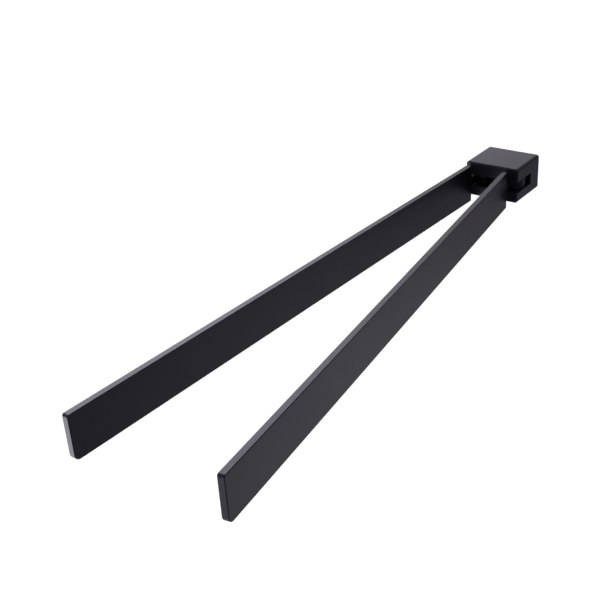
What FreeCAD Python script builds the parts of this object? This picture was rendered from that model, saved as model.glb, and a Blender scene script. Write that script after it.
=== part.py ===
import FreeCAD, Part
import os
import re
import Sketcher

# Two-arm towel holder for a bathroom wall.
# A solid block hides a wall plate. A slot at its mid-height, open to the front and to both sides, holds the
# hinge eyes of two flat arms, which swing out from straight ahead until they lie along the wall.
# Frame: origin at the middle of the face against the wall, +X to the right seen from the room, +Y into the
# wall, +Z up. What turns with an arm is drawn with its hinge axis at the origin and its bar along -Y, then
# turned to its rest angle and moved to its pivot.

# Every size is in millimetres, every angle in degrees.
SIZES = {
    # Wall block
    "block_width": 40.0,
    "block_depth": 34.0,
    "block_height": 25.0,
    "block_corner_radius": 2.0,
    "block_front_bevel": 0.7,
    "block_rim_bevel": 0.3,
    # Places of the two hinge axes, and where the arms stand at rest
    "pivot_spacing": 24.7,
    "pivot_setback": 14.7,
    "slot_back_gap": 0.6,
    "left_rest_angle": 2.0,
    "right_rest_angle": 8.0,
    # How far the middle of the knuckles and of the bars lies below the block's middle
    "knuckle_drop": 1.5,
    "bar_drop": 2.9,
    # Hinge knuckle: the eye on the pin and the tongue that carries the bar
    "knuckle_height": 6.0,
    "eye_radius": 6.0,
    "eye_rim_bevel": 0.3,
    "tongue_reach": 17.0,
    "tongue_blend_radius": 1.5,
    "tenon_length": 8.0,
    "tenon_height": 4.0,
    "tenon_thickness": 2.4,
    "tenon_gap": 0.05,
    # Arm bar
    "bar_length": 373.7,
    "bar_width": 26.5,
    "bar_thickness": 4.0,
    "bar_offset": 3.5,
    "bar_corner_radius": 3.5,
    "bar_edge_bevel": 0.5,
    # Bush, friction washers and disc spring round the pin
    "bush_wall": 1.0,
    "bush_bevel": 0.25,
    "running_gap": 0.05,
    "snug_gap": 0.02,
    "washer_thickness": 0.6,
    "washer_inset": 0.2,
    "washer_bore_gap": 0.15,
    "spring_height": 0.8,
    "spring_thickness": 0.5,
    # Pivot screw: head below, plain shoulder in the eye, thread in the upper cheek
    "shoulder_radius": 3.0,
    "head_radius": 5.0,
    "head_height": 3.0,
    "head_recess": 0.4,
    "head_side_gap": 0.4,
    "thread_radius": 2.5,
    "thread_end_room": 0.2,
    "thread_gap": 0.05,
    "screw_bevel": 0.3,
    "socket_width": 3.0,
    "socket_depth": 1.8,
    # Threaded insert in the upper cheek, and the metal left above its bore
    "insert_wall": 1.0,
    "insert_end_room": 0.2,
    "insert_cover": 2.2,
    # Wall plate and the pocket that it sits in, with the block's wall above and below the pocket
    "pocket_wall": 4.0,
    "plate_width": 29.4,
    "plate_thickness": 5.0,
    "plate_corner_radius": 2.5,
    "plate_rim_bevel": 0.3,
    "pocket_gap": 0.3,
    "pocket_depth": 7.0,
    "wall_screw_spacing": 18.0,
    "wall_screw_hole_radius": 2.25,
    "countersink_radius": 4.3,
    # Clamp screw from below, its point in a groove along the plate's lower edge
    "clamp_radius": 2.0,
    "clamp_recess": 0.25,
    "clamp_groove_depth": 1.5,
    "clamp_point_gap": 0.05,
    "clamp_socket_width": 2.0,
    "clamp_socket_depth": 2.0,
    # How far a cutting profile runs past the solid that it cuts
    "overrun": 1.0,
}

# An edge is picked by a point on it, to within this distance
PICK_REACH = 0.001

# Places that several pieces share, as formulas of the sizes
PIVOT_X = "(pivot_spacing / 2)"
PIVOT_DEPTH = "(block_depth - pivot_setback)"
SLOT_BACK = "(-(PIVOT_DEPTH - eye_radius - slot_back_gap))"
KNUCKLE_FLOOR = "(-knuckle_drop - knuckle_height / 2)"
KNUCKLE_TOP = "(-knuckle_drop + knuckle_height / 2)"
SLOT_FLOOR = "(KNUCKLE_FLOOR - washer_thickness)"
SPRING_FLOOR = "(KNUCKLE_TOP + washer_thickness)"
SLOT_CEILING = "(SPRING_FLOOR + spring_height)"
HEAD_FACE = "(-block_height / 2 + head_recess)"
HEAD_SEAT = "(HEAD_FACE + head_height)"
PIN_BORE = "(shoulder_radius + running_gap)"
BUSH_RADIUS = "(PIN_BORE + bush_wall)"
WASHER_RADIUS = "(eye_radius - washer_inset)"
WASHER_BORE = "(shoulder_radius + washer_bore_gap)"
THREAD_BORE = "(thread_radius + thread_gap)"
INSERT_RADIUS = "(THREAD_BORE + insert_wall)"
INSERT_BORE_END = "(block_height / 2 - insert_cover)"
INSERT_TOP = "(INSERT_BORE_END - insert_end_room)"
BAR_LEFT = "(-bar_offset - bar_thickness / 2)"
BAR_RIGHT = "(-bar_offset + bar_thickness / 2)"
POCKET_SIDE = "(plate_width / 2 + pocket_gap)"
POCKET_TOP = "(block_height / 2 - pocket_wall)"
PLATE_TOP = "(POCKET_TOP - pocket_gap)"
CLAMP_FACE = "(-block_height / 2 + clamp_recess)"
CLAMP_TIP = "(-PLATE_TOP + clamp_groove_depth - clamp_point_gap)"
PLACES = {name: text for name, text in globals().items() if name.isupper() and isinstance(text, str)}

doc = FreeCAD.newDocument("towel_holder")
sheet = doc.addObject("Spreadsheet::Sheet", "Sizes")
for row, (size_name, size) in enumerate(SIZES.items(), start=1):
    sheet.set(f"A{row}", size_name)
    sheet.set(f"B{row}", str(size))
    sheet.setAlias(f"B{row}", size_name)
doc.recompute()

subparts = []


def formula(text):
    """Write out the shared places in a formula and point its size names at the sheet."""
    while any(re.search(rf"\b{name}\b", text) for name in PLACES):
        text = re.sub(r"\b[A-Z_]+\b", lambda word: PLACES.get(word[0], word[0]), text)
    return re.sub(r"\b[a-z_]+\b", lambda word: f"Sizes.{word[0]}" if word[0] in SIZES else word[0], text)


def value(text):
    """The present value of a formula, for first guesses and for finding edges."""
    return float(sheet.evalExpression(formula(text)))


def point(*texts):
    return FreeCAD.Vector(*[value(text) for text in texts])


def new_body(label):
    body = doc.addObject("PartDesign::Body", label)
    body.Label = label
    subparts.append(body)
    return body


def new_sketch(body, name, plane_role, offset="0"):
    """A sketch on one of the body's own planes, moved along the plane's normal by offset."""
    sketch = body.newObject("Sketcher::SketchObject", f"{body.Label}_{name}_sketch")
    plane = next(item for item in body.Origin.OriginFeatures if item.Role == plane_role)
    sketch.AttachmentSupport = [(plane, "")]
    sketch.MapMode = "FlatFace"
    sketch.setExpression("AttachmentOffset.Base.z", formula(offset))
    return sketch


def bind_point(sketch, item, end, across, up):
    """Tie one point of the sketch to its two formulas; a zero puts it on the sketch's own axis."""
    for kind, axis, text in (("DistanceX", -2, across), ("DistanceY", -1, up)):
        if value(text) == 0:
            sketch.addConstraint(Sketcher.Constraint("PointOnObject", item, end, axis))
            continue
        index = sketch.addConstraint(Sketcher.Constraint(kind, -1, 1, item, end, value(text)))
        sketch.setExpression(f"Constraints[{index}]", formula(text))


def add_outline(sketch, corners):
    """A closed outline of straight lines through corners, each a pair of formulas."""
    count = len(corners)
    first = sketch.GeometryCount
    for index in range(count):
        start = FreeCAD.Vector(value(corners[index][0]), value(corners[index][1]), 0)
        following = corners[(index + 1) % count]
        end = FreeCAD.Vector(value(following[0]), value(following[1]), 0)
        sketch.addGeometry(Part.LineSegment(start, end), False)
    for index in range(count):
        sketch.addConstraint(
            Sketcher.Constraint("Coincident", first + index, 2, first + (index + 1) % count, 1))
    for index, (across, up) in enumerate(corners):
        bind_point(sketch, first + index, 1, across, up)


def add_rectangle(sketch, left, right, bottom, top):
    add_outline(sketch, [(left, bottom), (right, bottom), (right, top), (left, top)])


def add_circle(sketch, across, up, radius):
    centre = FreeCAD.Vector(value(across), value(up), 0)
    index = sketch.addGeometry(Part.Circle(centre, FreeCAD.Vector(0, 0, 1), value(radius)), False)
    bind_point(sketch, index, 3, across, up)
    limit = sketch.addConstraint(Sketcher.Constraint("Radius", index, value(radius)))
    sketch.setExpression(f"Constraints[{limit}]", formula(radius))


def add_axis_line(sketch, across, bottom, top):
    """A construction line along the sketch's up direction, the axis of a groove."""
    ends = [FreeCAD.Vector(value(across), value(up), 0) for up in (bottom, top)]
    index = sketch.addGeometry(Part.LineSegment(*ends), True)
    bind_point(sketch, index, 1, across, bottom)
    bind_point(sketch, index, 2, across, top)


def add_hexagon(sketch, across_flats):
    sides = 6
    corners = []
    for index in range(sides):
        turn = f"(360 * {index} / {sides})"
        reach = f"{across_flats} / sqrt(3)"
        corners.append((f"{reach} * cos({turn})", f"{reach} * sin({turn})"))
    add_outline(sketch, corners)


def extrude(body, kind, sketch, length, reverse=False):
    """A Pad or a Pocket; reverse turns it to the other side of its sketch."""
    feature = body.newObject(f"PartDesign::{kind}", sketch.Name.replace("_sketch", ""))
    feature.Profile = sketch
    feature.setExpression("Length", formula(length))
    feature.Reversed = reverse
    before = body_volume(body, feature)
    doc.recompute()
    check_change(kind, before, feature)
    return feature


def revolve(body, kind, sketch, axis_name="V_Axis"):
    """A Revolution or a Groove round an axis of its sketch."""
    feature = body.newObject(f"PartDesign::{kind}", sketch.Name.replace("_sketch", ""))
    feature.Profile = sketch
    feature.ReferenceAxis = (sketch, [axis_name])
    before = body_volume(body, feature)
    doc.recompute()
    check_change(kind, before, feature)
    return feature


def body_volume(body, feature):
    """The volume of what the feature builds on."""
    base = feature.BaseFeature
    return base.Shape.Volume if base else 0


def check_change(kind, before, feature):
    """A pad or revolution adds volume and a pocket or groove takes some away, or the script stops."""
    change = feature.Shape.Volume - before
    grows = kind in ("Pad", "Revolution")
    if change * (1 if grows else -1) <= 0:
        raise ValueError(f"{feature.Name} changed nothing")


def mirror_sideways(body, feature):
    """Repeat a feature on the other side of the middle plane x = 0."""
    mirrored = body.newObject("PartDesign::Mirrored", f"{feature.Name}_mirrored")
    mirrored.Originals = [feature]
    plane = next(item for item in body.Origin.OriginFeatures if item.Role == "YZ_Plane")
    mirrored.MirrorPlane = (plane, [""])
    body.Tip = mirrored
    doc.recompute()
    return mirrored


def edges_through(feature, places):
    """Names of the feature's edges that pass through the given points."""
    names = []
    for index, edge in enumerate(feature.Shape.Edges, start=1):
        if any(edge.distToShape(Part.Vertex(place))[0] < PICK_REACH for place in places):
            names.append(f"Edge{index}")
    return names


def face_rim(feature, place):
    """Names of the edges round the face that holds the given point."""
    face = min(feature.Shape.Faces, key=lambda item: item.distToShape(Part.Vertex(place))[0])
    names = []
    for index, edge in enumerate(feature.Shape.Edges, start=1):
        if any(edge.isSame(rim_edge) for rim_edge in face.OuterWire.Edges):
            names.append(f"Edge{index}")
    return names


def soften(body, kind, name, size, edge_names):
    """A Fillet or a Chamfer on the named edges of the body's present tip."""
    base = body.Tip
    feature = body.newObject(f"PartDesign::{kind}", f"{body.Label}_{name}")
    feature.Base = (base, edge_names)
    feature.setExpression("Radius" if kind == "Fillet" else "Size", formula(size))
    doc.recompute()
    return feature


def place(subpart, across, depth, up, turn="0"):
    """Bind where a sub-part stands and how far it is turned about its own upright axis."""
    spot = "; ".join(formula(text) for text in (across, depth, up))
    subpart.setExpression("Placement", f"placement(vector({spot}); rotation(vector(0; 0; 1); {formula(turn)}))")


def pivot_side(side):
    """The hinge axis of one side: minus for left, plus for right."""
    return ("-" if side == "left" else "") + PIVOT_X


def place_at_pivot(subpart, side):
    place(subpart, pivot_side(side), f"-{PIVOT_DEPTH}", "0")


def place_on_arm(subpart, side):
    """At the hinge axis, turned outwards by the arm's rest angle."""
    turn = "-left_rest_angle" if side == "left" else "right_rest_angle"
    place(subpart, pivot_side(side), f"-{PIVOT_DEPTH}", "0", turn)


def make_bracket_block():
    body = new_body("bracket_block")
    outline = new_sketch(body, "outline", "XZ_Plane")
    add_rectangle(outline, "-block_width / 2", "block_width / 2", "-block_height / 2", "block_height / 2")
    block = extrude(body, "Pad", outline, "block_depth")
    long_edges = [
        point(f"{side} * block_width / 2", "-block_depth / 2", f"{level} * block_height / 2")
        for side in (-1, 1) for level in (-1, 1)
    ]
    rounded = soften(body, "Fillet", "long_edges", "block_corner_radius", edges_through(block, long_edges))
    bevelled = soften(body, "Chamfer", "wall_rim", "block_rim_bevel", face_rim(rounded, point("0", "0", "0")))
    front = face_rim(bevelled, point("0", "-block_depth", "0"))
    soften(body, "Chamfer", "front_rim", "block_front_bevel", front)

    slot = new_sketch(body, "slot", "YZ_Plane", "block_width / 2 + overrun")
    add_rectangle(slot, "-block_depth - overrun", SLOT_BACK, SLOT_FLOOR, SLOT_CEILING)
    slotted = extrude(body, "Pocket", slot, "block_width + 2 * overrun")
    mouth = face_rim(slotted, point("0", "-block_depth + pivot_setback", SLOT_CEILING))
    mouth += face_rim(slotted, point("0", "-block_depth + pivot_setback", SLOT_FLOOR))
    mouth += edges_through(slotted, [
        point(f"{side} * block_width / 2", SLOT_BACK, "-knuckle_drop") for side in (-1, 1)
    ])
    back = edges_through(slotted, [point("0", SLOT_BACK, level) for level in (SLOT_FLOOR, SLOT_CEILING)])
    soften(body, "Chamfer", "mouth", "block_rim_bevel", [edge for edge in mouth if edge not in back])

    # One stepped bore per hinge: head counterbore, shoulder bore in the lower cheek, insert bore in the upper
    bore = new_sketch(body, "pivot_bore", "XZ_Plane", PIVOT_DEPTH)
    floor = "-block_height / 2 - overrun"
    head_bore = f"{PIVOT_X} + head_radius + head_side_gap"
    pin_bore = f"{PIVOT_X} + {PIN_BORE}"
    insert_bore = f"{PIVOT_X} + {INSERT_RADIUS} + snug_gap"
    step = "-knuckle_drop"
    add_axis_line(bore, PIVOT_X, floor, INSERT_BORE_END)
    add_outline(bore, [
        (PIVOT_X, floor),
        (head_bore, floor),
        (head_bore, HEAD_SEAT),
        (pin_bore, HEAD_SEAT),
        (pin_bore, step),
        (insert_bore, step),
        (insert_bore, INSERT_BORE_END),
        (PIVOT_X, INSERT_BORE_END),
    ])
    mirror_sideways(body, revolve(body, "Groove", bore, "Axis0"))

    pocket = new_sketch(body, "plate_pocket", "XZ_Plane", "-overrun")
    add_rectangle(pocket, f"-{POCKET_SIDE}", POCKET_SIDE, f"-{POCKET_TOP}", POCKET_TOP)
    hollow = extrude(body, "Pocket", pocket, "pocket_depth + overrun", reverse=True)
    pocket_corners = [
        point(f"{side} * {POCKET_SIDE}", "-pocket_depth / 2", f"{level} * {POCKET_TOP}")
        for side in (-1, 1) for level in (-1, 1)
    ]
    soften(body, "Fillet", "pocket_corners", "plate_corner_radius + pocket_gap",
           edges_through(hollow, pocket_corners))

    clamp_hole = new_sketch(body, "clamp_hole", "XY_Plane", "-block_height / 2 - overrun")
    add_circle(clamp_hole, "0", "-plate_thickness / 2", "clamp_radius + thread_gap")
    extrude(body, "Pocket", clamp_hole, "block_height / 2 + overrun", reverse=True)


def make_wall_plate():
    body = new_body("wall_plate")
    outline = new_sketch(body, "outline", "XZ_Plane")
    add_rectangle(outline, "-plate_width / 2", "plate_width / 2", f"-{PLATE_TOP}", PLATE_TOP)
    plate = extrude(body, "Pad", outline, "plate_thickness")
    corners = [
        point(f"{side} * plate_width / 2", "-plate_thickness / 2", f"{level} * {PLATE_TOP}")
        for side in (-1, 1) for level in (-1, 1)
    ]
    rounded = soften(body, "Fillet", "corners", "plate_corner_radius", edges_through(plate, corners))
    soften(body, "Chamfer", "rim", "plate_rim_bevel", face_rim(rounded, point("0", "-plate_thickness", "0")))

    hole = new_sketch(body, "wall_screw_hole", "XZ_Plane", "plate_thickness + overrun")
    add_circle(hole, "wall_screw_spacing / 2", "0", "wall_screw_hole_radius")
    mirror_sideways(body, extrude(body, "Pocket", hole, "plate_thickness + 2 * overrun"))
    # Half the section of the countersink, turned about its own axis
    sink_depth = "(countersink_radius - wall_screw_hole_radius)"
    sink = new_sketch(body, "countersink", "XY_Plane")
    add_axis_line(sink, "wall_screw_spacing / 2", "-plate_thickness - overrun", "0")
    add_outline(sink, [
        ("wall_screw_spacing / 2", "-plate_thickness"),
        ("wall_screw_spacing / 2 + countersink_radius", "-plate_thickness"),
        ("wall_screw_spacing / 2 + wall_screw_hole_radius", f"-plate_thickness + {sink_depth}"),
        ("wall_screw_spacing / 2", f"-plate_thickness + {sink_depth}"),
    ])
    mirror_sideways(body, revolve(body, "Groove", sink, "Axis0"))

    # A right-angled groove along the lower edge takes the clamp screw's point
    groove = new_sketch(body, "clamp_groove", "YZ_Plane", "plate_width / 2 + overrun")
    add_outline(groove, [
        ("-plate_thickness / 2 - clamp_groove_depth", f"-{PLATE_TOP}"),
        ("-plate_thickness / 2 + clamp_groove_depth", f"-{PLATE_TOP}"),
        ("-plate_thickness / 2", f"-{PLATE_TOP} + clamp_groove_depth"),
    ])
    extrude(body, "Pocket", groove, "plate_width + 2 * overrun")


def make_clamp_screw():
    body = new_body("clamp_screw")
    profile = new_sketch(body, "profile", "XZ_Plane")
    add_outline(profile, [
        ("0", CLAMP_FACE),
        ("clamp_radius - screw_bevel", CLAMP_FACE),
        ("clamp_radius", f"{CLAMP_FACE} + screw_bevel"),
        ("clamp_radius", f"{CLAMP_TIP} - clamp_radius"),
        ("0", CLAMP_TIP),
    ])
    revolve(body, "Revolution", profile)
    socket = new_sketch(body, "socket", "XY_Plane", CLAMP_FACE)
    add_hexagon(socket, "clamp_socket_width")
    extrude(body, "Pocket", socket, "clamp_socket_depth", reverse=True)
    place(body, "0", "-plate_thickness / 2", "0")


def make_pivot_screw(side):
    body = new_body(f"{side}_pivot_screw")
    thread_end = f"{INSERT_TOP} - thread_end_room"
    profile = new_sketch(body, "profile", "XZ_Plane")
    add_outline(profile, [
        ("0", HEAD_FACE),
        ("head_radius - screw_bevel", HEAD_FACE),
        ("head_radius", f"{HEAD_FACE} + screw_bevel"),
        ("head_radius", HEAD_SEAT),
        ("shoulder_radius", HEAD_SEAT),
        ("shoulder_radius", SLOT_CEILING),
        ("thread_radius", SLOT_CEILING),
        ("thread_radius", thread_end),
        ("0", thread_end),
    ])
    revolve(body, "Revolution", profile)
    socket = new_sketch(body, "socket", "XY_Plane", HEAD_FACE)
    add_hexagon(socket, "socket_width")
    extrude(body, "Pocket", socket, "socket_depth", reverse=True)
    place_at_pivot(body, side)


def make_thread_insert(side):
    body = new_body(f"{side}_thread_insert")
    profile = new_sketch(body, "profile", "XZ_Plane")
    add_rectangle(profile, THREAD_BORE, INSERT_RADIUS, SLOT_CEILING, INSERT_TOP)
    revolve(body, "Revolution", profile)
    place_at_pivot(body, side)


def make_washer(side, level, floor):
    """A flat friction washer, standing on the given floor."""
    ring = doc.addObject("Part::Cut", f"{side}_{level}_washer")
    ring.Label = ring.Name
    ring.Base = doc.addObject("Part::Cylinder", f"{ring.Name}_disc")
    ring.Tool = doc.addObject("Part::Cylinder", f"{ring.Name}_bore")
    ring.Base.setExpression("Radius", formula(WASHER_RADIUS))
    ring.Base.setExpression("Height", formula("washer_thickness"))
    ring.Tool.setExpression("Radius", formula(WASHER_BORE))
    ring.Tool.setExpression("Height", formula("washer_thickness + 2 * overrun"))
    ring.Tool.setExpression("Placement.Base.z", formula("-overrun"))
    place(ring, pivot_side(side), f"-{PIVOT_DEPTH}", floor)
    subparts.append(ring)


def make_disc_spring(side):
    """A dished ring: its outer edge stands on the upper washer, its inner edge presses the upper cheek."""
    body = new_body(f"{side}_disc_spring")
    profile = new_sketch(body, "profile", "XZ_Plane")
    add_outline(profile, [
        (WASHER_RADIUS, SPRING_FLOOR),
        (WASHER_RADIUS, f"{SPRING_FLOOR} + spring_thickness"),
        (WASHER_BORE, SLOT_CEILING),
        (WASHER_BORE, f"{SLOT_CEILING} - spring_thickness"),
    ])
    revolve(body, "Revolution", profile)
    place_at_pivot(body, side)


def make_hinge_knuckle(side):
    body = new_body(f"{side}_hinge_knuckle")
    eye_outline = new_sketch(body, "eye", "XY_Plane", KNUCKLE_FLOOR)
    add_circle(eye_outline, "0", "0", "eye_radius")
    extrude(body, "Pad", eye_outline, "knuckle_height")
    tongue = new_sketch(body, "tongue", "XY_Plane", KNUCKLE_FLOOR)
    add_rectangle(tongue, BAR_LEFT, BAR_RIGHT, "-tongue_reach", "0")
    joined = extrude(body, "Pad", tongue, "knuckle_height")
    notch_depth = f"sqrt(eye_radius^2 - {BAR_RIGHT}^2)"
    notch = point(BAR_RIGHT, f"-{notch_depth}", "-knuckle_drop")
    blended = soften(body, "Fillet", "blend", "tongue_blend_radius", edges_through(joined, [notch]))
    eye_top = face_rim(blended, point("0", "0", KNUCKLE_TOP))
    eye_floor = face_rim(blended, point("0", "0", KNUCKLE_FLOOR))
    butt = face_rim(blended, point("-bar_offset", "-tongue_reach", "-knuckle_drop"))
    plain_edges = [edge for edge in eye_top + eye_floor if edge not in butt]
    soften(body, "Chamfer", "rims", "eye_rim_bevel", plain_edges)
    tenon = new_sketch(body, "tenon", "XZ_Plane", "tongue_reach")
    half = "tenon_thickness / 2"
    add_rectangle(tenon, f"-bar_offset - {half}", f"-bar_offset + {half}",
                  "-knuckle_drop - tenon_height / 2", "-knuckle_drop + tenon_height / 2")
    extrude(body, "Pad", tenon, "tenon_length")
    bore = new_sketch(body, "bore", "XY_Plane", f"{KNUCKLE_TOP} + overrun")
    add_circle(bore, "0", "0", f"{BUSH_RADIUS} + snug_gap")
    extrude(body, "Pocket", bore, "knuckle_height + 2 * overrun")
    place_on_arm(body, side)


def make_pivot_bush(side):
    body = new_body(f"{side}_pivot_bush")
    profile = new_sketch(body, "profile", "XZ_Plane")
    add_outline(profile, [
        (f"{PIN_BORE} + bush_bevel", KNUCKLE_FLOOR),
        (BUSH_RADIUS, KNUCKLE_FLOOR),
        (BUSH_RADIUS, KNUCKLE_TOP),
        (f"{PIN_BORE} + bush_bevel", KNUCKLE_TOP),
        (PIN_BORE, f"{KNUCKLE_TOP} - bush_bevel"),
        (PIN_BORE, f"{KNUCKLE_FLOOR} + bush_bevel"),
    ])
    revolve(body, "Revolution", profile)
    place_on_arm(body, side)


def make_arm_bar(side):
    body = new_body(f"{side}_arm_bar")
    tip = "(tongue_reach + bar_length)"
    top = "(-bar_drop + bar_width / 2)"
    bottom = "(-bar_drop - bar_width / 2)"
    flat = new_sketch(body, "flat", "YZ_Plane", BAR_LEFT)
    add_rectangle(flat, f"-{tip}", "-tongue_reach", bottom, top)
    bar = extrude(body, "Pad", flat, "bar_thickness")
    tip_corners = [point("-bar_offset", f"-{tip}", level) for level in (bottom, top)]
    rounded = soften(body, "Fillet", "tip_corners", "bar_corner_radius", edges_through(bar, tip_corners))
    middle = "-tongue_reach - bar_length / 2"
    sides = [face_rim(rounded, point(across, middle, "-bar_drop")) for across in (BAR_LEFT, BAR_RIGHT)]
    soften(body, "Chamfer", "edges", "bar_edge_bevel", sides[0] + sides[1])
    mortise = new_sketch(body, "mortise", "XZ_Plane", "tongue_reach - overrun")
    half = "(tenon_thickness / 2 + tenon_gap)"
    rise = "(tenon_height / 2 + tenon_gap)"
    add_rectangle(mortise, f"-bar_offset - {half}", f"-bar_offset + {half}",
                  f"-knuckle_drop - {rise}", f"-knuckle_drop + {rise}")
    extrude(body, "Pocket", mortise, "tenon_length + tenon_gap + overrun", reverse=True)
    place_on_arm(body, side)


def check_document():
    """Stop unless every object recomputed and every sub-part holds one valid solid."""
    doc.recompute()
    for item in doc.Objects:
        if "Invalid" in item.State or "Error" in item.State:
            raise ValueError(f"{item.Label} did not recompute: {item.State}")
    for item in subparts:
        shape = item.Shape
        if shape.isNull() or not shape.isValid() or len(shape.Solids) != 1:
            raise ValueError(f"{item.Label} has no single valid solid")


make_bracket_block()
make_wall_plate()
make_clamp_screw()
for arm_side in ("left", "right"):
    make_pivot_screw(arm_side)
    make_thread_insert(arm_side)
    make_washer(arm_side, "lower", SLOT_FLOOR)
    make_washer(arm_side, "upper", KNUCKLE_TOP)
    make_disc_spring(arm_side)
    make_hinge_knuckle(arm_side)
    make_pivot_bush(arm_side)
    make_arm_bar(arm_side)
check_document()

os.makedirs("parts", exist_ok=True)
for item in subparts:
    item.Shape.exportStep(f"parts/{item.Label}.step")
    box = item.Shape.BoundBox
    print(f"{item.Label}: {item.Shape.Volume:.1f} mm3, x {box.XMin:.2f} to {box.XMax:.2f}, "
          f"y {box.YMin:.2f} to {box.YMax:.2f}, z {box.ZMin:.2f} to {box.ZMax:.2f}")
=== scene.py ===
# %% [markdown]
# A two-arm towel holder in matt black, dressed for its portrait.
# The measured solids of the holder are loaded first. They give every piece its place and its motion, so this
# script only makes surfaces, the two bars with their soft edges, light and a camera. All lengths are in
# metres, +Y points into the wall and +Z up.

import math

import bmesh
import bpy
from mathutils import Matrix, Quaternion, Vector


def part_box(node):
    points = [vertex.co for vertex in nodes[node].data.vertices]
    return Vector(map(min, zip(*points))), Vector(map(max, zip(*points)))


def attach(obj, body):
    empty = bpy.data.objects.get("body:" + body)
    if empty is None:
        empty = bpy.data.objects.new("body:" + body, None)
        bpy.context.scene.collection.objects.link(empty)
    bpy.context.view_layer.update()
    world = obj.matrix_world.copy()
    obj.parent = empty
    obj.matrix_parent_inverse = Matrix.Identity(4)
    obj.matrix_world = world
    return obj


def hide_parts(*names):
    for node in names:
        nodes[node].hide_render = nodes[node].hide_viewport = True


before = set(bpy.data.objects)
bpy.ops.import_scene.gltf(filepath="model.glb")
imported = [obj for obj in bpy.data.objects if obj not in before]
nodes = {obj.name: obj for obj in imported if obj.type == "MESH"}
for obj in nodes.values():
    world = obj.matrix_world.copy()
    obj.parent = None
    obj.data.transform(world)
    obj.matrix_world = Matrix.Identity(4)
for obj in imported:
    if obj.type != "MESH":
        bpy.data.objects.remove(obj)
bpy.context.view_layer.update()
MM = 0.001
print("pieces loaded:", len(nodes))

# %% [markdown]
# The camera stands to the right of the holder and above it, close enough for the near ends of the arms to
# look much larger than the wall block. A lens that is a little long keeps that from looking forced. The
# camera could be aimed and left level, but then the block's upright edges would lean in the picture, so it
# is also rolled by a few degrees about its line of sight.

# %% Camera
CAMERA_PLACE = Vector((0.31581, -0.66837, 0.28064))
CAMERA_AIM = Vector((-0.03265, -0.21319, -0.02578))
CAMERA_ROLL = math.radians(-3.648)
LENS_MM = 61.764
SENSOR_MM = 36.0
NEAREST_SEEN = 0.01
FARTHEST_SEEN = 50.0


def add_camera():
    data = bpy.data.cameras.new("portrait_camera")
    data.lens = LENS_MM
    data.sensor_width = SENSOR_MM
    data.clip_start = NEAREST_SEEN
    data.clip_end = FARTHEST_SEEN
    camera = bpy.data.objects.new("portrait_camera", data)
    bpy.context.scene.collection.objects.link(camera)
    looking = (CAMERA_AIM - CAMERA_PLACE).to_track_quat("-Z", "Y")
    camera.rotation_mode = "QUATERNION"
    camera.rotation_quaternion = looking @ Quaternion((0, 0, 1), CAMERA_ROLL)
    camera.location = CAMERA_PLACE
    bpy.context.scene.camera = camera


add_camera()
print("camera to aim point:", round((CAMERA_AIM - CAMERA_PLACE).length, 3), "m")

# %% [markdown]
# Matt black is drawn by its reflections, so the light matters more than the paint. One large soft light high
# on the left, behind the holder, gives the upper edges of the bars their pale line. It could be an area
# lamp, but the near ends of the arms would then be lit less than the block. It is a sun, which doesn't fall
# off along the arms, and it is spread over a wide disc, as a softbox is. A real softbox low at the front
# left brightens the end of the left arm.

# %% Soft light
SOFTBOX_TOWARD = (-0.69, 0.44, 0.61)
SOFTBOX_STRENGTH = 2.7
SOFTBOX_SPREAD = math.radians(44)
FRONT_BOX_PLACE = Vector((-0.52, -0.73, -0.37))
FRONT_BOX_AIM = Vector((-0.02, -0.41, 0.0))
FRONT_BOX_SIZE = 0.42
FRONT_BOX_POWER = 3.2
LIGHT_COLOUR = (0.945, 0.925, 1.0)


def add_lamp(name, data, toward):
    """A lamp object that shines from the direction toward."""
    data.color = LIGHT_COLOUR
    lamp = bpy.data.objects.new(name, data)
    lamp.rotation_mode = "QUATERNION"
    lamp.rotation_quaternion = Vector(toward).to_track_quat("Z", "Y")
    bpy.context.scene.collection.objects.link(lamp)
    return lamp


def add_sun(name, toward, strength, spread):
    """Parallel light, spread over a wide disc of sky."""
    data = bpy.data.lights.new(name, "SUN")
    data.energy = strength
    data.angle = spread
    return add_lamp(name, data, toward)


def add_softbox(name, place, aim, size, power):
    """A square lamp that faces the point aim. The camera doesn't see the lamp itself."""
    data = bpy.data.lights.new(name, "AREA")
    data.shape = "SQUARE"
    data.size = size
    data.energy = power
    lamp = add_lamp(name, data, place - aim)
    lamp.location = place
    lamp.visible_camera = False
    return lamp


add_sun("upper_left_softbox", SOFTBOX_TOWARD, SOFTBOX_STRENGTH, SOFTBOX_SPREAD)
add_softbox("front_left_softbox", FRONT_BOX_PLACE, FRONT_BOX_AIM, FRONT_BOX_SIZE, FRONT_BOX_POWER)
print("lamps:", len(bpy.data.lights))

# %% [markdown]
# The background is white, and a matt black bar in front of it still has to go dark on one side. White cards
# and grey flags all round would do that in a studio. Here the room does it: the camera sees white wherever
# it looks, while gloss and glass see a room that is white on the left and behind the holder and light grey
# on its right. The right-hand faces mirror that side. The helpers below tell the rays apart and make the
# fade from one side to the other.

# %% Telling rays apart
FADE_SLOPE = 0.19
ROOM_WHITE = (1, 1, 1, 1)
ROOM_TINT = (0.955, 0.935, 1.0, 1)


def link_math(tree, operation, first, second):
    """A math node. Its second value is a socket or a plain number."""
    step = tree.nodes.new("ShaderNodeMath")
    step.operation = operation
    tree.links.new(first, step.inputs[0])
    if isinstance(second, float):
        step.inputs[1].default_value = second
    else:
        tree.links.new(second, step.inputs[1])
    return step.outputs[0]


def ray_kinds(tree):
    """Two masks: one for what the camera sees, one for what gloss and glass see."""
    path = tree.nodes.new("ShaderNodeLightPath")
    mirrored = link_math(tree, "MAXIMUM", path.outputs["Is Glossy Ray"], path.outputs["Is Transmission Ray"])
    return path.outputs["Is Camera Ray"], mirrored


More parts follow.
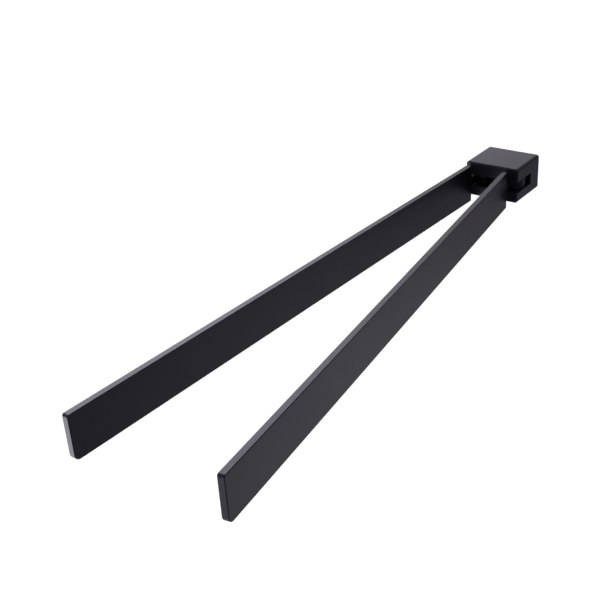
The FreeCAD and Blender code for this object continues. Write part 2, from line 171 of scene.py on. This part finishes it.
def smooth_fall(tree, value, start, end, height):
    """Falls smoothly from height to nought while the value goes from start to end."""
    fall = tree.nodes.new("ShaderNodeMapRange")
    fall.interpolation_type = "SMOOTHSTEP"
    fall.inputs["From Min"].default_value = start
    fall.inputs["From Max"].default_value = end
    fall.inputs["To Min"].default_value = height
    fall.inputs["To Max"].default_value = 0.0
    tree.links.new(value, fall.inputs["Value"])
    return fall.outputs["Result"]


def side_fade(tree, place, start, end):
    """One on the left and behind, fading to nought on the right."""
    across = tree.nodes.new("ShaderNodeVectorMath")
    across.operation = "DOT_PRODUCT"
    across.inputs[1].default_value = (1.0, FADE_SLOPE, 0.0)
    tree.links.new(place, across.inputs[0])
    return smooth_fall(tree, across.outputs["Value"], start, end, 1.0)


def blend_values(tree, share, low, high):
    """Runs from low to high with the share. Both are sockets or plain numbers."""
    blend = tree.nodes.new("ShaderNodeMapRange")
    for label, value in (("To Min", low), ("To Max", high)):
        if isinstance(value, float):
            blend.inputs[label].default_value = value
        else:
            tree.links.new(value, blend.inputs[label])
    tree.links.new(share, blend.inputs["Value"])
    return blend.outputs["Result"]


def tinted_white(tree, mirror_sees):
    """White for the camera, and a trace of violet in what gloss and glass see."""
    tint = tree.nodes.new("ShaderNodeMix")
    tint.data_type = "RGBA"
    tint.inputs["A"].default_value = ROOM_WHITE
    tint.inputs["B"].default_value = ROOM_TINT
    tree.links.new(mirror_sees, tint.inputs["Factor"])
    return tint.outputs["Result"]


print("blue over red in what gloss sees:", round(ROOM_TINT[2] / ROOM_TINT[0], 3))

# %% [markdown]
# The world is the room above the ground. The camera sees it at a strength of one, which is white. What falls
# on the holder from all round is a little over half of that, so that the lamps still shape it.

# %% World
ROOM_LIGHT = 0.60
ROOM_GREY = 0.40
WALL_FADE_START = -0.05
WALL_FADE_END = 0.35


def make_world():
    world = bpy.data.worlds.new("pale_room")
    world.use_nodes = True
    tree = world.node_tree
    background = tree.nodes["Background"]
    toward = tree.nodes.new("ShaderNodeTexCoord").outputs["Generated"]
    camera_sees, mirror_sees = ray_kinds(tree)
    wall = blend_values(tree, side_fade(tree, toward, WALL_FADE_START, WALL_FADE_END), ROOM_GREY, 1.0)
    lit = blend_values(tree, mirror_sees, ROOM_LIGHT, wall)
    tree.links.new(tinted_white(tree, mirror_sees), background.inputs["Color"])
    tree.links.new(blend_values(tree, camera_sees, lit, 1.0), background.inputs["Strength"])
    bpy.context.scene.world = world


make_world()
bpy.context.scene.view_settings.view_transform = "Standard"
print("world:", bpy.context.scene.world.name)

# %% [markdown]
# The ground is a pale sheet well below the holder. A sheet that is simply painted white would throw a lot
# of light upwards and leave the undersides grey. So the paint is a middle grey, and white is added only for
# the camera and for what gloss sees. The lamps still light the sheet, which keeps a faint shadow. For gloss
# the added white is a painted glow: it fades to grey on the right as the walls do, but for a painted pool of
# light to the right of the holder, which the outer halves of both bars mirror.

# %% Ground
GROUND_LEVEL = -0.55
GROUND_HALF = 6.0
GROUND_COLOUR = (0.258, 0.251, 0.283, 1)
GROUND_ROUGH = 0.9
GROUND_WHITE = 0.80
FADE_START = -0.15
FADE_END = 0.32
POOL_MIDDLE = (0.52, 0.42, GROUND_LEVEL)
POOL_INNER = 0.10
POOL_OUTER = 0.88
POOL_SHARE = 0.92


def painted_glow_share(tree):
    """What gloss sees of the painted glow: one over most of the ground, nought on the right but for a painted
    pool of light.
    """
    place = tree.nodes.new("ShaderNodeTexCoord").outputs["Object"]
    fade = side_fade(tree, place, FADE_START, FADE_END)
    away = tree.nodes.new("ShaderNodeVectorMath")
    away.operation = "DISTANCE"
    away.inputs[1].default_value = POOL_MIDDLE
    tree.links.new(place, away.inputs[0])
    # a pool of light painted into the sheet's glow, which only gloss sees
    pool = smooth_fall(tree, away.outputs["Value"], POOL_INNER, POOL_OUTER, POOL_SHARE)
    return link_math(tree, "MAXIMUM", fade, pool)


def make_ground_paint():
    paint = bpy.data.materials.new("pale_ground")
    paint.use_nodes = True
    tree = paint.node_tree
    shader = tree.nodes["Principled BSDF"]
    shader.inputs["Base Color"].default_value = GROUND_COLOUR
    shader.inputs["Roughness"].default_value = GROUND_ROUGH
    shader.inputs["Specular IOR Level"].default_value = 0.0
    camera_sees, mirror_sees = ray_kinds(tree)
    tree.links.new(tinted_white(tree, mirror_sees), shader.inputs["Emission Color"])
    # the sheet's glow: white for the camera, and for gloss a painted fade and a painted pool of light
    mirrored_white = link_math(tree, "MULTIPLY", mirror_sees, painted_glow_share(tree))
    white = link_math(tree, "MAXIMUM", camera_sees, mirrored_white)
    tree.links.new(link_math(tree, "MULTIPLY", white, GROUND_WHITE), shader.inputs["Emission Strength"])
    return paint


def make_ground():
    shape = bmesh.new()
    bmesh.ops.create_grid(shape, x_segments=1, y_segments=1, size=GROUND_HALF)
    bmesh.ops.translate(shape, verts=shape.verts, vec=(0, 0, GROUND_LEVEL))
    mesh = bpy.data.meshes.new("ground")
    shape.to_mesh(mesh)
    shape.free()
    mesh.materials.append(make_ground_paint())
    ground = bpy.data.objects.new("ground", mesh)
    bpy.context.scene.collection.objects.link(ground)


make_ground()
print("ground lies", -GROUND_LEVEL, "m below the middle of the block")

# %% [markdown]
# Each arm carries the towel on a flat steel bar. It is cut from strip with deburred edges, and the paint
# rounds them further, so every edge catches a thin pale line instead of ending sharply. The solid bar has
# one straight chamfer along its edges, which shows as a flat facet. A bevel modifier on that solid would
# round the chamfer's own corners only, so the bar is modelled here again from a block. These are its sizes,
# with the hinge axis at the origin and the bar along -Y, and two ways to pick its edges.

# %% Sizes of a bar
PIVOT_SIDEWAYS = 12.35 * MM
PIVOT_FORWARD = -19.3 * MM
LEFT_REST_DEGREES = -2.0
RIGHT_REST_DEGREES = 8.0
BAR_THICKNESS = 4.0 * MM
BAR_LENGTH = 373.7 * MM
BAR_WIDTH = 26.5 * MM
BAR_MIDDLE_SIDEWAYS = -3.5 * MM
BAR_ROOT = -17.0 * MM
BAR_TIP = BAR_ROOT - BAR_LENGTH
BAR_DROP = -2.9 * MM
TOUCHING = 0.01 * MM
NEARLY_ALONG = 0.99
SHARP_ANGLE = math.radians(40)


def runs_along(edge, axis):
    return abs((edge.verts[0].co - edge.verts[1].co).normalized()[axis]) > NEARLY_ALONG


def sharp_edges(shape):
    return [edge for edge in shape.edges if edge.calc_face_angle(0.0) > SHARP_ANGLE]


print("bar tip to hinge axis:", round(-BAR_TIP / MM, 1), "mm")

# %% [markdown]
# The bar is rounded in two steps. First come the two corners of its tip, of which the lower is the rounder
# one, then every sharp edge gets a small radius. In the other order the tip's corners would cut through
# edges that are already round, which leaves slivers.

# %% Rounding
TIP_RADIUS_ABOVE = 1.5 * MM
TIP_RADIUS_BELOW = 3.5 * MM
TIP_STEPS = 10
EDGE_RADIUS = 0.4 * MM
EDGE_STEPS = 5


def round_off(shape, edges, radius, steps):
    return bmesh.ops.bevel(
        shape, geom=edges, offset=radius, offset_type="OFFSET", affect="EDGES",
        segments=steps, profile=0.5, material=-1, clamp_overlap=True,
    )["faces"]


def tip_corner(shape, upwards):
    """The tip's upper corner edge (1) or its lower one (-1)."""
    return [
        edge for edge in shape.edges
        if runs_along(edge, 0)
        and abs(edge.verts[0].co.y - BAR_TIP) < TOUCHING
        and (edge.verts[0].co.z - BAR_DROP) * upwards > 0
    ]


def round_bar(shape):
    round_off(shape, tip_corner(shape, 1), TIP_RADIUS_ABOVE, TIP_STEPS)
    round_off(shape, tip_corner(shape, -1), TIP_RADIUS_BELOW, TIP_STEPS)
    for face in shape.faces:
        face.smooth = False
    shape.normal_update()
    for face in round_off(shape, sharp_edges(shape), EDGE_RADIUS, EDGE_STEPS):
        face.smooth = True


print("edge radius over bar thickness:", EDGE_RADIUS / BAR_THICKNESS)

# %% [markdown]
# The root has the mortise that the hinge's tongue is fixed in. A boolean cut would make it, but its corners
# would run long thin triangles over the end face. Instead the end face is inset, the inner face is scaled
# to the mortise's size and moved to its place, and then it is extruded inwards.

# %% Mortise
MORTISE_HALF = (1.25 * MM, 2.05 * MM)
MORTISE_DROP = -1.5 * MM
MORTISE_DEPTH = 8.05 * MM
MORTISE_INSET = 0.3 * MM


def cut_mortise(shape, root):
    """Sinks a rectangular hole into the root's end face."""
    bmesh.ops.inset_region(shape, faces=[root], thickness=MORTISE_INSET, use_even_offset=True)
    middle = root.calc_center_median()
    half = [max(abs(vert.co[axis] - middle[axis]) for vert in root.verts) for axis in (0, 2)]
    ratio = (MORTISE_HALF[0] / half[0], 1.0, MORTISE_HALF[1] / half[1])
    bmesh.ops.scale(shape, verts=root.verts, vec=ratio, space=Matrix.Translation(-middle))
    bmesh.ops.translate(shape, verts=root.verts, vec=(0, 0, MORTISE_DROP - middle.z))
    sunk = bmesh.ops.extrude_discrete_faces(shape, faces=[root])["faces"][0]
    bmesh.ops.translate(shape, verts=sunk.verts, vec=(0, -MORTISE_DEPTH, 0))


print("mortise:", [round(2 * half / MM, 2) for half in MORTISE_HALF], "mm, deep", MORTISE_DEPTH / MM)

# %% [markdown]
# Blender's bevel leaves points, edges and faces in an order that differs from run to run. They are sorted,
# so that the same script always gives the same mesh. The points go by their place along a slanted line on
# which no two of them coincide, and the edges and faces by the numbers of their points.

# %% Order
SORT_LINE = Vector((1.0, 0.618034, 0.414214))
NUMBERS_COMPARED = 3


def put_in_order(shape):
    shape.verts.sort(key=lambda vert: vert.co.dot(SORT_LINE))
    shape.verts.index_update()

    def rank(element):
        value = 0
        for number in sorted(vert.index for vert in element.verts)[:NUMBERS_COMPARED]:
            value = value * len(shape.verts) + number
        return value

    shape.edges.sort(key=rank)
    shape.faces.sort(key=rank)


print("points are sorted along", tuple(round(part, 3) for part in SORT_LINE))

# %% [markdown]
# Both bars are the same piece. Each is turned to the angle at which its arm stands at rest and moved to its
# hinge axis, in the mesh itself, so that the object stays at the origin. Then the solid bar is hidden, and
# this one rides on its arm in its place.

# %% The two bars
def make_bar(side, pivot_side, turn_degrees):
    shape = bmesh.new()
    bmesh.ops.create_cube(shape, size=1.0)
    bmesh.ops.scale(shape, verts=shape.verts, vec=(BAR_THICKNESS, BAR_LENGTH, BAR_WIDTH))
    middle = (BAR_MIDDLE_SIDEWAYS, BAR_ROOT - BAR_LENGTH / 2, BAR_DROP)
    bmesh.ops.translate(shape, verts=shape.verts, vec=middle)
    round_bar(shape)
    cut_mortise(shape, max(shape.faces, key=lambda face: face.calc_center_median().y))
    turn = Matrix.Rotation(math.radians(turn_degrees), 3, "Z")
    bmesh.ops.rotate(shape, verts=shape.verts, cent=(0, 0, 0), matrix=turn)
    bmesh.ops.translate(shape, verts=shape.verts, vec=(pivot_side * PIVOT_SIDEWAYS, PIVOT_FORWARD, 0))
    bmesh.ops.recalc_face_normals(shape, faces=shape.faces)
    put_in_order(shape)
    mesh = bpy.data.meshes.new(side + "_bar")
    shape.to_mesh(mesh)
    shape.free()
    bar = bpy.data.objects.new(side + "_bar", mesh)
    bpy.context.scene.collection.objects.link(bar)
    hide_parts(side + "_arm_bar")
    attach(bar, side + "_arm")
    return bar


def beyond_solid(bar, solid):
    """How far the bar reaches beyond the solid bar's box."""
    low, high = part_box(solid)
    points = [vert.co for vert in bar.data.vertices]
    return max(max(low[axis] - point[axis], point[axis] - high[axis]) for point in points for axis in range(3))


left_bar = make_bar("left", -1, LEFT_REST_DEGREES)
right_bar = make_bar("right", 1, RIGHT_REST_DEGREES)
for bar, solid in ((left_bar, "left_arm_bar"), (right_bar, "right_arm_bar")):
    beyond = round(beyond_solid(bar, solid) / MM, 3)
    print(bar.name, "faces:", len(bar.data.polygons), "beyond its solid's box, mm:", beyond)

# %% [markdown]
# Black powder coat is plastic powder that is sprayed on dry and baked until it flows. It never flows out
# quite flat, so it has a slow orange-peel swell and, in a matt grade, a fine grain on top. Other finishes
# need a grain too, so both effects are put in one node group, which each material uses with its own values.

# %% Fine grain shared by the finishes
SWELL_DETAIL = 1.0
GRAIN_DETAIL = 2.0


def new_group(name, inputs, outputs):
    """An empty shader node group with its sockets, and its two end nodes."""
    group = bpy.data.node_groups.new(name, "ShaderNodeTree")
    for label, kind, value in inputs:
        socket = group.interface.new_socket(name=label, in_out="INPUT", socket_type=kind)
        if value is not None:
            socket.default_value = value
    for label, kind in outputs:
        group.interface.new_socket(name=label, in_out="OUTPUT", socket_type=kind)
    return group, group.nodes.new("NodeGroupInput"), group.nodes.new("NodeGroupOutput")


def make_grain_group():
    inputs = [
        ("Vector", "NodeSocketVector", None),
        ("Swell Scale", "NodeSocketFloat", 700.0),
        ("Grain Scale", "NodeSocketFloat", 4000.0),
        ("Grain Share", "NodeSocketFloat", 0.4),
    ]
    group, given, result = new_group("fine_grain", inputs, [("Height", "NodeSocketFloat")])
    swell = group.nodes.new("ShaderNodeTexNoise")
    swell.inputs["Detail"].default_value = SWELL_DETAIL
    grain = group.nodes.new("ShaderNodeTexNoise")
    grain.inputs["Detail"].default_value = GRAIN_DETAIL
    blend = group.nodes.new("ShaderNodeMix")
    blend.data_type = "FLOAT"
    links = group.links
    links.new(given.outputs["Vector"], swell.inputs["Vector"])
    links.new(given.outputs["Swell Scale"], swell.inputs["Scale"])
    links.new(given.outputs["Vector"], grain.inputs["Vector"])
    links.new(given.outputs["Grain Scale"], grain.inputs["Scale"])
    links.new(given.outputs["Grain Share"], blend.inputs["Factor"])
    links.new(swell.outputs["Fac"], blend.inputs["A"])
    links.new(grain.outputs["Fac"], blend.inputs["B"])
    links.new(blend.outputs["Result"], result.inputs["Height"])
    return group


grain_group = make_grain_group()
print("group made:", grain_group.name)

# %% [markdown]
# A second group gives a slow mottling: a value that drifts between two limits over the surface. No real
# finish is equally dark or equally rough all over, and this small drift is what keeps a large plain face
# from looking like a drawing. Noise seldom leaves the middle of its range, so that middle is stretched to
# the two limits.

# %% Slow mottling shared by the finishes
MOTTLE_DETAIL = 3.0
NOISE_MIDDLE = (0.3, 0.7)


def make_mottle_group():
    inputs = [
        ("Vector", "NodeSocketVector", None),
        ("Scale", "NodeSocketFloat", 40.0),
        ("Low", "NodeSocketFloat", 0.4),
        ("High", "NodeSocketFloat", 0.5),
    ]
    group, given, result = new_group("slow_mottle", inputs, [("Value", "NodeSocketFloat")])
    cloud = group.nodes.new("ShaderNodeTexNoise")
    cloud.inputs["Detail"].default_value = MOTTLE_DETAIL
    spread = group.nodes.new("ShaderNodeMapRange")
    spread.inputs["From Min"].default_value, spread.inputs["From Max"].default_value = NOISE_MIDDLE
    links = group.links
    links.new(given.outputs["Vector"], cloud.inputs["Vector"])
    links.new(given.outputs["Scale"], cloud.inputs["Scale"])
    links.new(cloud.outputs["Fac"], spread.inputs["Value"])
    links.new(given.outputs["Low"], spread.inputs["To Min"])
    links.new(given.outputs["High"], spread.inputs["To Max"])
    links.new(spread.outputs["Result"], result.inputs["Value"])
    return group


mottle_group = make_mottle_group()
print("group made:", mottle_group.name)

# %% [markdown]
# Every finish is put together from the same few steps: a new material, a shared group with its values, a
# bump from a height, two close tones for the colour, and a roughness that drifts. Patterns read object
# coordinates, which hold still on a piece while its arm swings. A UV map laid out on the surface would do
# too, but a grain without a direction doesn't need one.

# %% Steps of every finish
def new_material(name):
    paint = bpy.data.materials.new(name)
    paint.use_nodes = True
    tree = paint.node_tree
    return paint, tree, tree.nodes["Principled BSDF"]


def object_place(tree):
    return tree.nodes.new("ShaderNodeTexCoord").outputs["Object"]


def place_group(tree, group, place, **values):
    """Puts a shared group into a material, with its own values."""
    made = tree.nodes.new("ShaderNodeGroup")
    made.node_tree = group
    for label, value in values.items():
        made.inputs[label.replace("_", " ").title()].default_value = value
    tree.links.new(place, made.inputs["Vector"])
    return made.outputs[0]


def add_bump(tree, shader, height, metres):
    """Raises the surface by up to the given height."""
    bump = tree.nodes.new("ShaderNodeBump")
    bump.inputs["Strength"].default_value = 1.0
    bump.inputs["Distance"].default_value = metres
    tree.links.new(height, bump.inputs["Height"])
    tree.links.new(bump.outputs["Normal"], shader.inputs["Normal"])


def two_tones(tree, shader, factor, tones):
    """Base colour that runs between two close tones."""
    mix = tree.nodes.new("ShaderNodeMix")
    mix.data_type = "RGBA"
    mix.inputs["A"].default_value, mix.inputs["B"].default_value = tones
    tree.links.new(factor, mix.inputs["Factor"])
    tree.links.new(mix.outputs["Result"], shader.inputs["Base Color"])


def drifting_roughness(tree, shader, place, scale, limits):
    low, high = limits
    rough = place_group(tree, mottle_group, place, scale=scale, low=low, high=high)
    tree.links.new(rough, shader.inputs["Roughness"])


print("steps of a finish: grain or rings, bump, tones, roughness")

# %% [markdown]
# The coat on the block and the bars is the same paint. It is a deep black with a trace of violet, and a low
# sheen. The knuckles turn between washers with hardly any play, and powder is too thick for that, so they
# have a thin dip coat: the same black, but smoother.

# %% Black powder coat and dip coat
COAT_TONES = ((0.0042, 0.0040, 0.0056, 1), (0.0062, 0.0059, 0.0082, 1))
COAT_TINT = (0.85, 0.81, 1.0, 1)
COAT_SPECULAR = 0.207
COAT_SWELL_SCALE = 900.0
COAT_GRAIN_SCALE = 5200.0
COAT_GRAIN_SHARE = 0.45
COAT_MOTTLE_SCALE = 38.0
POWDER_ROUGH = (0.385, 0.415)
POWDER_GRAIN = 0.035 * MM
DIP_ROUGH = (0.29, 0.33)
DIP_GRAIN = 0.008 * MM


def make_coat(name, rough_limits, grain_height):
    paint, tree, shader = new_material(name)
    place = object_place(tree)
    height = place_group(
        tree, grain_group, place,
        swell_scale=COAT_SWELL_SCALE, grain_scale=COAT_GRAIN_SCALE, grain_share=COAT_GRAIN_SHARE)
    add_bump(tree, shader, height, grain_height)
    drifting_roughness(tree, shader, place, COAT_MOTTLE_SCALE, rough_limits)
    two_tones(tree, shader, height, COAT_TONES)
    shader.inputs["Specular Tint"].default_value = COAT_TINT
    shader.inputs["Specular IOR Level"].default_value = COAT_SPECULAR
    return paint


powder_coat = make_coat("black_powder_coat", POWDER_ROUGH, POWDER_GRAIN)
dip_coat = make_coat("black_dip_coat", DIP_ROUGH, DIP_GRAIN)
print("coats:", powder_coat.name, dip_coat.name)

# %% [markdown]
# The pins and the thread inserts are turned on a lathe, which leaves fine rings round the axis, on the ends
# as well as on the sides. A wave texture draws rings, but only evenly spaced ones. These are a noise that
# is read by the distance to the axis and the height along it, so they are uneven as tool marks are, and
# right on ends and sides alike. The group needs the axis's place, because each piece turns about its own.

# %% Turning marks
RING_DETAIL = 2.0


def make_turning_group():
    inputs = [
        ("Vector", "NodeSocketVector", None),
        ("Axis Place", "NodeSocketVector", None),
        ("Ring Scale", "NodeSocketFloat", 6000.0),
    ]
    group, given, result = new_group("turning_marks", inputs, [("Height", "NodeSocketFloat")])
    shifted = group.nodes.new("ShaderNodeVectorMath")
    shifted.operation = "SUBTRACT"
    parts = group.nodes.new("ShaderNodeSeparateXYZ")
    flat = group.nodes.new("ShaderNodeCombineXYZ")
    radius = group.nodes.new("ShaderNodeVectorMath")
    radius.operation = "LENGTH"
    ringed = group.nodes.new("ShaderNodeCombineXYZ")
    rings = group.nodes.new("ShaderNodeTexNoise")
    rings.inputs["Detail"].default_value = RING_DETAIL
    links = group.links
    links.new(given.outputs["Vector"], shifted.inputs[0])
    links.new(given.outputs["Axis Place"], shifted.inputs[1])
    links.new(shifted.outputs["Vector"], parts.inputs["Vector"])
    links.new(parts.outputs["X"], flat.inputs["X"])
    links.new(parts.outputs["Y"], flat.inputs["Y"])
    links.new(flat.outputs["Vector"], radius.inputs[0])
    links.new(radius.outputs["Value"], ringed.inputs["X"])
    links.new(parts.outputs["Z"], ringed.inputs["Z"])
    links.new(ringed.outputs["Vector"], rings.inputs["Vector"])
    links.new(given.outputs["Ring Scale"], rings.inputs["Scale"])
    links.new(rings.outputs["Fac"], result.inputs["Height"])
    return group


turning_group = make_turning_group()
print("group made:", turning_group.name)

# %% [markdown]
# The pins are stainless steel and the inserts brass. Both are plain metal, so the colour is bright and the
# metal's gloss does the rest. The rings show in the height and, as dull and bright tones, in the colour.

# %% Turned steel and brass
STEEL_TONES = ((0.24, 0.24, 0.24, 1), (0.58, 0.58, 0.57, 1))
STEEL_ROUGH = (0.24, 0.32)
BRASS_TONES = ((0.42, 0.29, 0.12, 1), (0.76, 0.57, 0.29, 1))
BRASS_ROUGH = (0.28, 0.38)
TURNED_RING_SCALE = 2600.0
TURNED_RING_HEIGHT = 0.02 * MM
TURNED_MOTTLE_SCALE = 300.0


def make_turned(name, axis_place, tones, rough_limits):
    paint, tree, shader = new_material(name)
    place = object_place(tree)
    rings = place_group(tree, turning_group, place, axis_place=axis_place, ring_scale=TURNED_RING_SCALE)
    add_bump(tree, shader, rings, TURNED_RING_HEIGHT)
    drifting_roughness(tree, shader, place, TURNED_MOTTLE_SCALE, rough_limits)
    two_tones(tree, shader, rings, tones)
    shader.inputs["Metallic"].default_value = 1.0
    return paint


turned = {}
for side, sign in (("left", -1), ("right", 1)):
    axis_place = (sign * PIVOT_SIDEWAYS, PIVOT_FORWARD, 0)
    turned[side + "_pivot_screw"] = make_turned(side + "_turned_steel", axis_place, STEEL_TONES, STEEL_ROUGH)
    turned[side + "_thread_insert"] = make_turned(side + "_turned_brass", axis_place, BRASS_TONES, BRASS_ROUGH)
print("turned finishes:", len(turned))

# %% [markdown]
# The rest of the hinge is hardly ever seen, but each piece still has its own stuff. The bush is sintered
# bronze, which is pressed from powder and full of oil-filled pores. The friction washers are black acetal,
# a smooth plastic with a soft sheen. The dished spring is phosphated, which leaves steel dark, dull and a
# little blotchy. The clamp screw is plain stainless steel. One function makes them all: two tones that
# drift into each other, and a grain of the finish's own size and height.

# %% Bronze, acetal, phosphated steel and plain steel
MOTTLED_GRAIN_SHARE = 0.6
ROUGH_TO_TONE_SCALE = 0.7


def make_mottled(name, tones, metallic, rough_limits, mottle_scale, swell_scale, grain_scale, grain_height):
    paint, tree, shader = new_material(name)
    place = object_place(tree)
    height = place_group(
        tree, grain_group, place,
        swell_scale=swell_scale, grain_scale=grain_scale, grain_share=MOTTLED_GRAIN_SHARE)
    add_bump(tree, shader, height, grain_height)
    tone = place_group(tree, mottle_group, place, scale=mottle_scale, low=0.0, high=1.0)
    two_tones(tree, shader, tone, tones)
    drifting_roughness(tree, shader, place, mottle_scale * ROUGH_TO_TONE_SCALE, rough_limits)
    shader.inputs["Metallic"].default_value = metallic
    return paint


bronze = make_mottled(
    "sintered_bronze", tones=((0.36, 0.21, 0.10, 1), (0.56, 0.36, 0.18, 1)), metallic=1.0,
    rough_limits=(0.42, 0.58), mottle_scale=2600.0, swell_scale=1800.0, grain_scale=7000.0,
    grain_height=0.03 * MM)
acetal = make_mottled(
    "black_acetal", tones=((0.005, 0.005, 0.005, 1), (0.009, 0.009, 0.009, 1)), metallic=0.0,
    rough_limits=(0.38, 0.46), mottle_scale=400.0, swell_scale=600.0, grain_scale=3500.0,
    grain_height=0.008 * MM)
phosphate = make_mottled(
    "phosphated_steel", tones=((0.012, 0.012, 0.013, 1), (0.030, 0.030, 0.031, 1)), metallic=0.3,
    rough_limits=(0.55, 0.72), mottle_scale=900.0, swell_scale=1200.0, grain_scale=6000.0,
    grain_height=0.01 * MM)
plain_steel = make_mottled(
    "plain_steel", tones=((0.34, 0.34, 0.34, 1), (0.52, 0.52, 0.51, 1)), metallic=1.0,
    rough_limits=(0.26, 0.36), mottle_scale=500.0, swell_scale=700.0, grain_scale=5000.0,
    grain_height=0.01 * MM)
print("mottled finishes:", bronze.name, acetal.name, phosphate.name, plain_steel.name)

# %% [markdown]
# The wall plate is stamped from rolled stainless sheet, which has a fine straight grain. The same grain
# group gives it when the coordinates are squeezed along the plate's width: the noise is then drawn out into
# long fine lines.

# %% Rolled sheet
SHEET_TONES = ((0.44, 0.44, 0.45, 1), (0.64, 0.64, 0.65, 1))
SHEET_ROUGH = (0.30, 0.40)
SHEET_SQUEEZE = (0.03, 1.0, 1.0)
SHEET_SWELL_SCALE = 2500.0
SHEET_GRAIN_SCALE = 9000.0
SHEET_GRAIN_SHARE = 0.5
SHEET_GRAIN = 0.008 * MM
SHEET_MOTTLE_SCALE = 120.0


def make_rolled_sheet():
    paint, tree, shader = new_material("rolled_sheet")
    place = object_place(tree)
    stretch = tree.nodes.new("ShaderNodeMapping")
    stretch.inputs["Scale"].default_value = SHEET_SQUEEZE
    tree.links.new(place, stretch.inputs["Vector"])
    height = place_group(
        tree, grain_group, stretch.outputs["Vector"],
        swell_scale=SHEET_SWELL_SCALE, grain_scale=SHEET_GRAIN_SCALE, grain_share=SHEET_GRAIN_SHARE)
    add_bump(tree, shader, height, SHEET_GRAIN)
    two_tones(tree, shader, height, SHEET_TONES)
    drifting_roughness(tree, shader, place, SHEET_MOTTLE_SCALE, SHEET_ROUGH)
    shader.inputs["Metallic"].default_value = 1.0
    return paint


rolled_sheet = make_rolled_sheet()
print("materials:", len(bpy.data.materials))

# %% [markdown]
# Every piece gets its finish in its own material slot. The measured solids keep their shape: block, knuckles
# and small parts already have their bevels and bores, so only their surface changes.

# %% Give every piece its finish
FINISHES = {
    "bracket_block": powder_coat,
    "wall_plate": rolled_sheet,
    "clamp_screw": plain_steel,
    **turned,
}
for side in ("left", "right"):
    FINISHES[side + "_hinge_knuckle"] = dip_coat
    FINISHES[side + "_arm_bar"] = powder_coat
    FINISHES[side + "_lower_washer"] = acetal
    FINISHES[side + "_upper_washer"] = acetal
    FINISHES[side + "_disc_spring"] = phosphate
    FINISHES[side + "_pivot_bush"] = bronze

for name, paint in FINISHES.items():
    mesh = nodes[name].data
    mesh.materials.clear()
    mesh.materials.append(paint)
for bar in (left_bar, right_bar):
    bar.data.materials.append(powder_coat)
print("pieces without a finish:", sorted(set(nodes) - set(FINISHES)))
